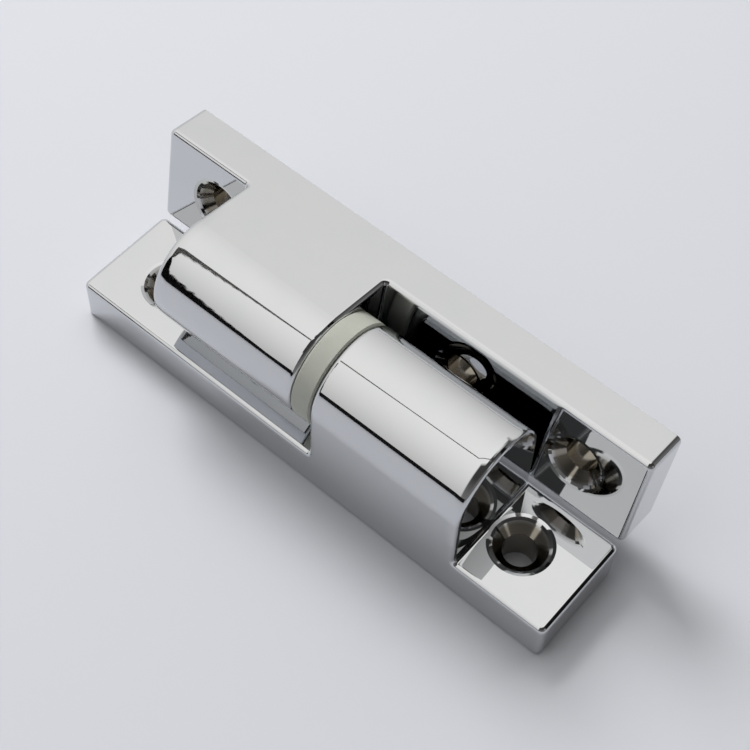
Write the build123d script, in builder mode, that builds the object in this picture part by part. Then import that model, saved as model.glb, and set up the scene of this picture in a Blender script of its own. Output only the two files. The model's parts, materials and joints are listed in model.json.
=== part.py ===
from build123d import *
import os
from math import cos, degrees, radians, sin, tan

# Lift-off cabinet hinge: two equal die-cast leaves, a loose steel pin and a plastic thrust washer.
# X runs along the pin, Z is up, and the origin is the middle of the frame leaf's mounting face.

# Leaf casting
leaf_length = 100.0
leaf_width = 20.0
plate_thickness = 8.5
crown_clearance = 2.0  # between a knuckle's crown and the other leaf's plate
knuckle_length = 30.0
knuckle_end_wall = 4.0  # metal left beyond the blind bore
edge_radius = 0.9  # round along every edge that the hand meets
corner_core = 0.2  # what is left of a plan corner's round inside the edge round
foot_radius = 0.6  # hollow round where a knuckle's end face meets the plate
seat_edge = 0.4  # chamfer along the rim of the mounting face

# Countersunk screw holes
screw_hole_diameter = 5.8
countersink_diameter = 10.0
countersink_angle = 90.0
rim_roll = 0.9  # width that buffing has rolled off the flat round each countersink
end_hole_inset = 12.0  # from each end of the leaf to the middle of its end hole
middle_hole_offset = 14.0  # from mid-length to the hole under the other leaf's knuckle

# Pin and its bores
pin_diameter = 8.0
pin_chamfer = 0.8
pin_end_gap = 2.0  # left between the pin's tip and the bottom of the door leaf's bore
bore_lead_in = 0.5
seat_clearance = 0.02  # radial, pin in the frame leaf
running_clearance = 0.05  # radial, door leaf on the pin

# Thrust washer
washer_thickness = 4.0
washer_inset = 0.15  # rim of the washer below the crown of the knuckles
washer_clearance = 0.10  # radial, washer on the pin
washer_edge = 0.3  # chamfer round both rims
axial_play = 0.05  # on each side of the washer

# Door leaf at rest
rest_lean = 9.0  # degrees that the door leaf leans back past square

knuckle_radius = leaf_width / 2
pin_height = plate_thickness + crown_clearance + knuckle_radius  # above the mounting face
knuckle_start = washer_thickness / 2 + axial_play
bore_depth = knuckle_length - knuckle_end_wall
corner_radius = edge_radius + corner_core
pin_radius = pin_diameter / 2
end_hole_offset = leaf_length / 2 - end_hole_inset
countersink_tilt = radians(90 - countersink_angle / 2)  # of the cone against the flat
roll_radius = rim_roll / tan(countersink_tilt / 2)


def pin_section(along):
    """Plane square to the pin, centred on its axis, at this distance along it."""
    return Plane(origin=(along, 0, pin_height), x_dir=(0, 1, 0), z_dir=(1, 0, 0))


def cast_leaf(seat, bore_radius):
    """One leaf on the plane of its mounting face, which has X along the pin and Z towards it."""
    along = Axis(seat.origin, seat.x_dir)
    across = Axis(seat.origin, seat.y_dir)
    away = Axis(seat.origin, seat.z_dir)
    knuckle_foot = Plane(seat.from_local_coords((knuckle_start, 0, 0)), seat.y_dir, seat.x_dir)
    bore_mouth = Plane(seat.from_local_coords((knuckle_start, 0, pin_height)), seat.y_dir, -seat.x_dir)

    with BuildPart() as leaf:
        # Mounting plate
        with BuildSketch(seat):
            RectangleRounded(leaf_length, leaf_width, corner_radius)
        extrude(amount=plate_thickness)

        # Knuckle with a half-round crown, flush with both long faces of the plate
        with BuildSketch(knuckle_foot):
            Rectangle(leaf_width, pin_height, align=(Align.CENTER, Align.MIN))
            with Locations((0, pin_height)):
                Circle(knuckle_radius)
        extrude(amount=knuckle_length)

        # Hollow rounds at the knuckle's feet
        feet = leaf.edges().filter_by(across).group_by(away)[1].sort_by(along)[1:-1]
        fillet(feet, foot_radius)

        # Each end edge of the plate leads into one smooth loop along the plate and over the knuckle
        end_edges = leaf.edges().filter_by(across).group_by(away)[1].sort_by(along)
        fillet([end_edges[0], end_edges[-1]], edge_radius)
        seat_edges = leaf.edges().filter_by(across).group_by(away)[0]
        chamfer(seat_edges[0], seat_edge)

        # Screw holes, countersunk from the knuckle's side, the rolled rim as two shallower cones
        with Locations(seat.offset(plate_thickness)):
            with Locations((-end_hole_offset, 0), (-middle_hole_offset, 0), (end_hole_offset, 0)):
                for tilt in (countersink_tilt, countersink_tilt * 2 / 3, countersink_tilt / 3):
                    rolled = roll_radius * (tan(countersink_tilt / 2) - tan(tilt / 2))
                    CounterSinkHole(
                        screw_hole_diameter / 2,
                        countersink_diameter / 2 + rolled,
                        depth=plate_thickness,
                        counter_sink_angle=180 - 2 * degrees(tilt),
                    )

        # Blind bore for the pin, with a lead-in at its mouth
        with Locations(bore_mouth):
            CounterSinkHole(bore_radius, bore_radius + bore_lead_in, depth=bore_depth, counter_sink_angle=90)
    return leaf


# Frame leaf, lying on its mounting face
frame_seat = Plane.XY
frame_leaf = cast_leaf(frame_seat, pin_radius + seat_clearance)

# Door leaf, the same casting turned half round about the pin and leaning back
lean = radians(rest_lean)
door_seat = Plane(
    origin=(0, pin_height * cos(lean), pin_height * (1 - sin(lean))),
    x_dir=(-1, 0, 0),
    z_dir=(0, -cos(lean), sin(lean)),
)
door_leaf = cast_leaf(door_seat, pin_radius + running_clearance)

# Pin, standing on the bottom of the frame leaf's bore
pin_tip = -(knuckle_start + bore_depth - pin_end_gap)
pin_foot = knuckle_start + bore_depth
with BuildPart() as hinge_pin:
    with BuildSketch(pin_section(pin_tip)):
        Circle(pin_radius)
    extrude(amount=pin_foot - pin_tip)
    chamfer(hinge_pin.edges().filter_by(GeomType.CIRCLE), pin_chamfer)

# Thrust washer between the knuckles
with BuildPart() as thrust_washer:
    with BuildSketch(pin_section(-washer_thickness / 2)):
        Circle(knuckle_radius - washer_inset)
        Circle(pin_radius + washer_clearance, mode=Mode.SUBTRACT)
    extrude(amount=washer_thickness)
    rims = thrust_washer.edges().filter_by(GeomType.CIRCLE).sort_by(SortBy.RADIUS)[-2:]
    chamfer(rims, washer_edge)

pieces = {
    "frame_leaf": frame_leaf,
    "door_leaf": door_leaf,
    "hinge_pin": hinge_pin,
    "thrust_washer": thrust_washer,
}
os.makedirs("parts", exist_ok=True)
for name, piece in pieces.items():
    piece.part.label = name
    export_step(piece.part, f"parts/{name}.step")
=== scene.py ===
import json
from math import cos, radians, sin

import bpy
import numpy as np
from mathutils import Matrix, Vector

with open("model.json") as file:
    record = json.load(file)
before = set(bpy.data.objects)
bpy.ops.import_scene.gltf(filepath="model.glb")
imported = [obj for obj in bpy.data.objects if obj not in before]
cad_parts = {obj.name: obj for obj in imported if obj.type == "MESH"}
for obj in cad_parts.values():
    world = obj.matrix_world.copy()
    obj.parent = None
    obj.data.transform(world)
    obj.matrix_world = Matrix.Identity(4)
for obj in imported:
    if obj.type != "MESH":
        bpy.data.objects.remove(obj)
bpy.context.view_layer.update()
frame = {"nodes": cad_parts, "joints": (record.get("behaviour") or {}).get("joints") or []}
MM = 0.001

# The hinge's own middle: the pin axis at mid-length, which the camera and the lights are set round
joints = {joint["name"]: joint for joint in frame["joints"]}
PIN_MIDDLE = Vector(joints["swing"]["pos_m"])

# Degrees about the pin that lay each leaf flat on its mounting face
FRAME_LEAF_TURN = 0.0
DOOR_LEAF_TURN = -81.0

# Where the screw holes are in a leaf that is laid flat: no hole at the first value, all hole at the second
HOLE_UNDER_TOP = (8.4 * MM, 7.6 * MM)
HOLE_ABOVE_SEAT = (0.1 * MM, 0.4 * MM)
HOLE_FROM_CENTRE_LINE = (6.6 * MM, 6.2 * MM)
HOLE_FROM_MID_LENGTH = (45.0 * MM, 44.5 * MM)

# Polished casting
BUFFING_WAVE = 14 * MM
BUFFING_WAVE_HEIGHT = 0.004 * MM
HAZE_PATCH = 5 * MM
HOLE_ROUGHNESS = 0.10  # added where the buffing wheel doesn't reach
ROLL_OFF_START = 29.7 * MM  # along the pin from mid-length
ROLL_OFF_END = 31.3 * MM
ROLL_OFF_DROP = 0.12 * MM
CROWN_OUTSIDE = 11.9 * MM  # from the pin's axis, where no roll-off is left
CROWN_INSIDE = 10.2 * MM  # from the pin's axis, where the roll-off is whole

# Pin and washer
GRINDING_RING = 0.12 * MM  # coarser than the real marks, so that the rings show
GRINDING_RING_RUN = 6 * MM
GRINDING_DEPTH = 0.003 * MM
ACETAL_CLOUD = 4 * MM
ACETAL_GRAIN = 0.25 * MM  # coarser than the real mould's grain, so that it shows
ACETAL_GRAIN_DEPTH = 0.01 * MM
ACETAL_IOR = 1.48

# Camera, as in the photograph
IMAGE_PIXELS = 750
SENSOR_WIDTH_MM = 36.0
FOCAL_PIXELS = 1678.3
CAMERA_AZIMUTH = 37.69
CAMERA_ELEVATION = 56.93
CAMERA_ROLL = 3.18
CAMERA_DISTANCE = 267.27 * MM
CAMERA_ASIDE = 5.53 * MM
CAMERA_RAISED = -0.95 * MM
CAMERA_NEAREST = 10 * MM

# Light tent: its glow at the horizon, what it gains straight overhead, and how strongly it lights matt
# surfaces from there
TENT_AT_HORIZON = 0.68
TENT_RISE = 0.50
TENT_ON_MATT = 1.35

# Edges of the tent's opening: a direction, and how far along it the opening ends and the tent is whole
OPENING_EDGES = (
    ((1.0, 0.0, 0.0), -0.08, -0.12),  # left edge
    ((-0.5, 0.35, 1.0), 0.88, 0.95),  # hem overhead
    ((0.0, 1.0, 0.0), 0.78, 0.86),  # back edge
    ((0.90, 0.05, 0.42), 0.985, 0.992),  # round lamp in the room outside
)

# Dim room outside the opening, with heights and places as sines
ROOM_AT_HORIZON = 0.32
ROOM_OVERHEAD = 0.05
ROOM_DARKEST_HEIGHT = 0.75
DOORWAY_MIDDLE = 0.47  # towards the back
DOORWAY_HALF_WIDTH = 0.08
DOORWAY_GLOW = 0.01

# Floor, cloths and lamp
FLOOR_HALF_WIDTH = 4.0
FLOOR_DROP = 0.02 * MM  # keeps the floor clear of the mounting face
CLOTH_DISTANCE = 3.0
CLOTH_LEFT_END = -0.64  # cosine to the pin
CLOTH_RIGHT_END = 0.30  # cosine to the pin
CLOTH_STEPS = 3000
CLOTH_FOOT = -1.5  # degrees up from the front
TEARS = ((2.5, 900), (2.0, 2100), (1.5, 4700))  # depth in degrees, and waves along the cloth's edge
SEAM_TEAR = 0.6  # against the front cloth's
KEY_LAMP_PLACE = (-0.60, 0.25, 0.72)
KEY_LAMP_SIZE = 0.40
KEY_LAMP_WATTS = 6.5


def linear(hex_colour):
    """An sRGB hex colour as linear red, green, blue and full alpha."""
    channels = [int(hex_colour[i:i + 2], 16) / 255 for i in (1, 3, 5)]
    curve = [c / 12.92 if c <= 0.04045 else ((c + 0.055) / 1.055) ** 2.4 for c in channels]
    return (*curve, 1.0)


def add(tree, kind, inputs, **settings):
    """Adds one node: settings are its properties, and each input takes a value or a link from a socket."""
    made = tree.nodes.new("ShaderNode" + kind)
    for name, value in settings.items():
        setattr(made, name, value)
    for name, value in inputs.items():
        if isinstance(value, bpy.types.NodeSocket):
            tree.links.new(value, made.inputs[name])
        else:
            made.inputs[name].default_value = value
    return made


def new_material(name):
    """An empty material and its node tree."""
    material = bpy.data.materials.new(name)
    material.use_nodes = True
    material.node_tree.nodes.clear()
    return material, material.node_tree


def polished_chrome(name, turn):
    """Bright chrome plated on a polished zinc casting: a cool mirror with a buffed casting's faint waves.

    Buffing has rolled the crowns off over their last two millimetres. It doesn't reach into the screw
    holes, which are left rougher; their colour is darkened to a warm grey as painted shade. The turn about
    the pin, in degrees, is the one that lays this leaf on its mounting face.
    """
    material, tree = new_material(name)
    place = add(tree, "TexCoord", {}).outputs["Object"]
    laid = add(
        tree,
        "VectorRotate",
        {"Vector": place, "Center": PIN_MIDDLE, "Angle": radians(turn)},
        rotation_type="X_AXIS",
    )
    sides = add(tree, "SeparateXYZ", {"Vector": laid.outputs["Vector"]})
    along = add(tree, "Math", {0: sides.outputs["X"]}, operation="ABSOLUTE").outputs["Value"]
    across = add(tree, "Math", {0: sides.outputs["Y"]}, operation="ABSOLUTE").outputs["Value"]
    height = sides.outputs["Z"]
    waves = add(tree, "TexNoise", {"Vector": place, "Scale": 1 / BUFFING_WAVE, "Detail": 1.0})
    haze = add(tree, "TexNoise", {"Vector": place, "Scale": 1 / HAZE_PATCH, "Detail": 4.0})

    # Screw holes: under the plate's top, above its mounting face and away from its edges
    hole_limits = (
        (height, HOLE_UNDER_TOP),
        (height, HOLE_ABOVE_SEAT),
        (across, HOLE_FROM_CENTRE_LINE),
        (along, HOLE_FROM_MID_LENGTH),
    )
    # The hole mask darkens the colour there as painted shade and adds roughness
    hole_shade_and_roughness_mask = 1.0
    for value, (none, whole) in hole_limits:
        share = add(tree, "MapRange", {"Value": value, "From Min": none, "From Max": whole})
        both = add(tree, "Math", {0: share.outputs["Result"], 1: hole_shade_and_roughness_mask}, operation="MULTIPLY")
        hole_shade_and_roughness_mask = both.outputs["Value"]

    # Chrome with faint haze, and painted shade that darkens the holes to a warm grey
    buffed = add(
        tree,
        "MixRGB",
        {"Fac": haze.outputs["Fac"], "Color1": linear("#CBCDD0"), "Color2": linear("#D0D1D2")},
    )
    # Painted shade: the screw holes are given a darker, warmer grey than the chrome
    tint = add(
        tree,
        "MixRGB",
        {"Fac": hole_shade_and_roughness_mask, "Color1": buffed.outputs["Color"], "Color2": linear("#938D83")},
    )
    shine = add(tree, "MapRange", {"Value": haze.outputs["Fac"], "To Min": 0.015, "To Max": 0.045})
    rough = add(
        tree,
        "Math",
        {0: hole_shade_and_roughness_mask, 1: HOLE_ROUGHNESS, 2: shine.outputs["Result"]},
        operation="MULTIPLY_ADD",
    )

    # Roll-off: a drop that grows with the square of the way along the last stretch, on the crowns only
    stretch = add(tree, "MapRange", {"Value": along, "From Min": ROLL_OFF_START, "From Max": ROLL_OFF_END})
    drop = add(tree, "Math", {0: stretch.outputs["Result"], 1: 2.0}, operation="POWER")
    from_pin = add(tree, "Mapping", {"Vector": place, "Location": (0, 0, -PIN_MIDDLE.z), "Scale": (0, 1, 1)})
    radius = add(tree, "VectorMath", {0: from_pin.outputs["Vector"]}, operation="LENGTH")
    crown = add(
        tree,
        "MapRange",
        {"Value": radius.outputs["Value"], "From Min": CROWN_OUTSIDE, "From Max": CROWN_INSIDE},
    )
    rolled = add(tree, "Math", {0: drop.outputs["Value"], 1: crown.outputs["Result"]}, operation="MULTIPLY")
    wavy = add(
        tree,
        "Bump",
        {"Height": waves.outputs["Fac"], "Distance": BUFFING_WAVE_HEIGHT, "Strength": 1.0},
    )
    relief = add(
        tree,
        "Bump",
        {
            "Height": rolled.outputs["Value"],
            "Distance": ROLL_OFF_DROP,
            "Strength": 1.0,
            "Normal": wavy.outputs["Normal"],
        },
        invert=True,
    )
    metal = add(
        tree,
        "BsdfPrincipled",
        {
            "Base Color": tint.outputs["Color"],
            "Metallic": 1.0,
            "Roughness": rough.outputs["Value"],
            "Normal": relief.outputs["Normal"],
        },
    )
    add(tree, "OutputMaterial", {"Surface": metal.outputs["BSDF"]})
    return material


def ground_steel():
    """Centreless-ground steel: a grey metal with fine rings round the pin."""
    material, tree = new_material("ground_steel")
    place = add(tree, "TexCoord", {}).outputs["Object"]
    ring_scale = (1 / GRINDING_RING, 1 / GRINDING_RING_RUN, 1 / GRINDING_RING_RUN)
    turned = add(tree, "Mapping", {"Vector": place, "Scale": ring_scale})
    rings = add(tree, "TexNoise", {"Vector": turned.outputs["Vector"], "Scale": 1.0, "Detail": 3.0})
    rough = add(tree, "MapRange", {"Value": rings.outputs["Fac"], "To Min": 0.18, "To Max": 0.34})
    tint = add(
        tree,
        "MixRGB",
        {"Fac": rings.outputs["Fac"], "Color1": linear("#A9A7A3"), "Color2": linear("#BDBBB7")},
    )
    relief = add(tree, "Bump", {"Height": rings.outputs["Fac"], "Distance": GRINDING_DEPTH, "Strength": 1.0})
    metal = add(
        tree,
        "BsdfPrincipled",
        {
            "Base Color": tint.outputs["Color"],
            "Metallic": 1.0,
            "Roughness": rough.outputs["Result"],
            "Normal": relief.outputs["Normal"],
        },
    )
    add(tree, "OutputMaterial", {"Surface": metal.outputs["BSDF"]})
    return material


def natural_acetal():
    """Moulded acetal in its natural colour: a waxy grey cream with a fine matt grain and faint clouding."""
    material, tree = new_material("natural_acetal")
    place = add(tree, "TexCoord", {}).outputs["Object"]
    clouds = add(tree, "TexNoise", {"Vector": place, "Scale": 1 / ACETAL_CLOUD, "Detail": 3.0})
    grain = add(tree, "TexNoise", {"Vector": place, "Scale": 1 / ACETAL_GRAIN, "Detail": 2.0})
    tint = add(
        tree,
        "MixRGB",
        {"Fac": clouds.outputs["Fac"], "Color1": linear("#AAACA3"), "Color2": linear("#B8BAB1")},
    )
    rough = add(tree, "MapRange", {"Value": grain.outputs["Fac"], "To Min": 0.38, "To Max": 0.52})
    relief = add(
        tree,
        "Bump",
        {"Height": grain.outputs["Fac"], "Distance": ACETAL_GRAIN_DEPTH, "Strength": 1.0},
    )
    plastic = add(
        tree,
        "BsdfPrincipled",
        {
            "Base Color": tint.outputs["Color"],
            "Roughness": rough.outputs["Result"],
            "IOR": ACETAL_IOR,
            "Subsurface Weight": 0.15,
            "Subsurface Radius": (1.0 * MM, 0.9 * MM, 0.7 * MM),
            "Subsurface Scale": 1.0,
            "Normal": relief.outputs["Normal"],
        },
    )
    add(tree, "OutputMaterial", {"Surface": plastic.outputs["BSDF"]})
    return material


def plain_surface(name, hex_colour, roughness):
    """A matt painted surface for the studio."""
    material, tree = new_material(name)
    paint = add(tree, "BsdfPrincipled", {"Base Color": linear(hex_colour), "Roughness": roughness})
    add(tree, "OutputMaterial", {"Surface": paint.outputs["BSDF"]})
    return material


def stage_mesh(name, points, faces, material):
    """A mesh of the studio that is no part of the hinge."""
    mesh = bpy.data.meshes.new(name)
    mesh.from_pydata(points, [], faces)
    mesh.materials.append(material)
    made = bpy.data.objects.new(name, mesh)
    bpy.context.scene.collection.objects.link(made)
    return made


def sky_points(along, height):
    """Points far out round the hinge, from cosines to the pin and angles up from the front, in degrees."""
    angle = np.radians(height)
    outward = np.sqrt(1 - along**2)
    directions = np.stack([along, -outward * np.cos(angle), outward * np.sin(angle)], axis=1)
    return np.array(PIN_MIDDLE) + CLOTH_DISTANCE * directions


def hung_cloth(name, along, low, high, material):
    """A strip of faces between two lines of sky points: a long cloth, seen only by the bright metal."""
    count = len(along)
    points = np.concatenate([sky_points(along, low), sky_points(along, high)])
    first = np.arange(count - 1)
    faces = np.stack([first, first + 1, count + first + 1, count + first], axis=1)
    made = stage_mesh(name, points.tolist(), faces.tolist(), material)
    made.visible_camera = False
    made.visible_diffuse = False
    made.visible_shadow = False


def light_tent():
    """The studio's soft white tent, brighter overhead, and open to a dim room at the front and the right."""
    world = bpy.data.worlds.new("light_tent")
    world.use_nodes = True
    tree = world.node_tree
    tree.nodes.clear()
    sky = add(tree, "TexCoord", {}).outputs["Generated"]
    sides = add(tree, "SeparateXYZ", {"Vector": sky})
    behind = sides.outputs["Y"]
    up = sides.outputs["Z"]
    cloth = add(tree, "Math", {0: up, 1: TENT_RISE, 2: TENT_AT_HORIZON}, operation="MULTIPLY_ADD")

    # The tent is whole wherever one of the edges says so
    lit = 0.0
    for direction, ends, whole in OPENING_EDGES:
        edge = add(tree, "VectorMath", {0: sky, 1: direction}, operation="DOT_PRODUCT")
        share = add(tree, "MapRange", {"Value": edge.outputs["Value"], "From Min": ends, "From Max": whole})
        either = add(tree, "Math", {0: share.outputs["Result"], 1: lit}, operation="MAXIMUM")
        lit = either.outputs["Value"]

    # The room outside is lighter at the horizon. Its unlit doorway gives the right-hand edges a black line.
    room = add(
        tree,
        "MapRange",
        {"Value": up, "From Max": ROOM_DARKEST_HEIGHT, "To Min": ROOM_AT_HORIZON, "To Max": ROOM_OVERHEAD},
    )
    doorway = add(tree, "Math", {0: behind, 1: DOORWAY_MIDDLE, 2: DOORWAY_HALF_WIDTH}, operation="COMPARE")
    dark = add(
        tree,
        "MapRange",
        {"Value": doorway.outputs["Value"], "To Min": room.outputs["Result"], "To Max": DOORWAY_GLOW},
    )
    shown = add(tree, "MapRange", {"Value": lit, "To Min": dark.outputs["Result"], "To Max": 1.0})
    glow = add(tree, "Math", {0: cloth.outputs["Value"], 1: shown.outputs["Result"]}, operation="MULTIPLY")

    # Matt surfaces get most of their share from overhead
    on_matt = add(tree, "LightPath", {}).outputs["Diffuse Depth"]
    overhead = add(tree, "Math", {0: up, 1: TENT_ON_MATT}, operation="MULTIPLY")
    share = add(tree, "MapRange", {"Value": on_matt, "To Min": 1.0, "To Max": overhead.outputs["Value"]})
    level = add(tree, "Math", {0: glow.outputs["Value"], 1: share.outputs["Result"]}, operation="MULTIPLY")
    light = add(tree, "Background", {"Color": linear("#FFFEFB"), "Strength": level.outputs["Value"]})
    add(tree, "OutputWorld", {"Surface": light.outputs["Background"]})
    bpy.context.scene.world = world


def soft_lamp(name, place, size, watts):
    """A square soft lamp aimed at the hinge, which lights matt surfaces but isn't mirrored in the chrome."""
    data = bpy.data.lights.new(name, "AREA")
    data.size = size
    data.energy = watts
    made = bpy.data.objects.new(name, data)
    made.location = place
    made.rotation_euler = (PIN_MIDDLE - Vector(place)).to_track_quat("-Z", "Y").to_euler()
    made.visible_glossy = False
    bpy.context.scene.collection.objects.link(made)


def photograph_camera():
    """The camera of the photograph, from its azimuth, elevation, roll and distance from the pin's middle."""
    azimuth, elevation, roll = map(radians, (CAMERA_AZIMUTH, CAMERA_ELEVATION, CAMERA_ROLL))
    backward = Vector((sin(azimuth) * cos(elevation), -cos(azimuth) * cos(elevation), sin(elevation)))
    level = Vector((0, 0, 1)).cross(backward).normalized()
    upright = backward.cross(level)
    rightward = cos(roll) * level + sin(roll) * upright
    upward = cos(roll) * upright - sin(roll) * level
    eye = PIN_MIDDLE + CAMERA_ASIDE * rightward + CAMERA_RAISED * upward + CAMERA_DISTANCE * backward
    data = bpy.data.cameras.new("photograph_camera")
    data.sensor_width = SENSOR_WIDTH_MM
    data.lens = SENSOR_WIDTH_MM * FOCAL_PIXELS / IMAGE_PIXELS
    data.clip_start = CAMERA_NEAREST
    made = bpy.data.objects.new("photograph_camera", data)
    turn = Matrix((rightward, upward, backward)).transposed().to_4x4()
    made.matrix_world = Matrix.Translation(eye) @ turn
    bpy.context.scene.collection.objects.link(made)
    bpy.context.scene.camera = made


# Finishes of the hinge's own pieces
finishes = {
    "frame_leaf": polished_chrome("chrome_plate_frame", FRAME_LEAF_TURN),
    "door_leaf": polished_chrome("chrome_plate_door", DOOR_LEAF_TURN),
    "hinge_pin": ground_steel(),
    "thrust_washer": natural_acetal(),
}
for node_name, finish in finishes.items():
    frame["nodes"][node_name].material_slots[0].material = finish

# Studio
bpy.context.scene.view_settings.view_transform = "Standard"
light_tent()
soft_lamp("key_lamp", KEY_LAMP_PLACE, KEY_LAMP_SIZE, KEY_LAMP_WATTS)
photograph_camera()
floor_paint = plain_surface("pale_floor", "#D1D3DA", roughness=0.7)
half = FLOOR_HALF_WIDTH
floor_plan = ((-half, -half), (half, -half), (half, half), (-half, half))
floor_corners = [(x, y, -FLOOR_DROP) for x, y in floor_plan]
stage_mesh("floor", floor_corners, [(0, 1, 2, 3)], floor_paint)

# Cloths that give the chrome its dark lines: a black one along the front of the floor and a grey one along
# a seam overhead. Towards the left both widen, and their edges are torn. Their lines are given in degrees
# up from the front, at cosines to the pin.
black_cloth = plain_surface("black_cloth", "#121213", roughness=0.9)
grey_cloth = plain_surface("grey_cloth", "#B5B1AA", roughness=0.9)
along_pin = np.linspace(CLOTH_LEFT_END, CLOTH_RIGHT_END, CLOTH_STEPS)
torn_part = np.interp(along_pin, [-0.455, -0.40], [1, 0])
torn = torn_part * sum(depth * np.sin(waves * along_pin) for depth, waves in TEARS)
front_foot = np.full_like(along_pin, CLOTH_FOOT)
front_edge = np.interp(
    along_pin,
    [CLOTH_LEFT_END, -0.56, -0.52, -0.467, -0.45, -0.42, -0.39, -0.37],
    [45, 34, 20, 17, 13, 8, 5.5, 7],
)
seam_edge = np.interp(along_pin, [-0.80, -0.45, -0.39, -0.28, -0.155, 0.30], [66, 72, 74.5, 80, 86, 100])
seam_width = np.interp(
    along_pin,
    [CLOTH_LEFT_END, -0.56, -0.52, -0.467, -0.45, -0.42, -0.38, -0.30],
    [26, 20, 12, 10, 7, 4, 2.4, 1.6],
)
hung_cloth("front_cloth", along_pin, front_foot, front_edge + torn, black_cloth)
hung_cloth("seam_cloth", along_pin, seam_edge - seam_width + SEAM_TEAR * torn, seam_edge, grey_cloth)
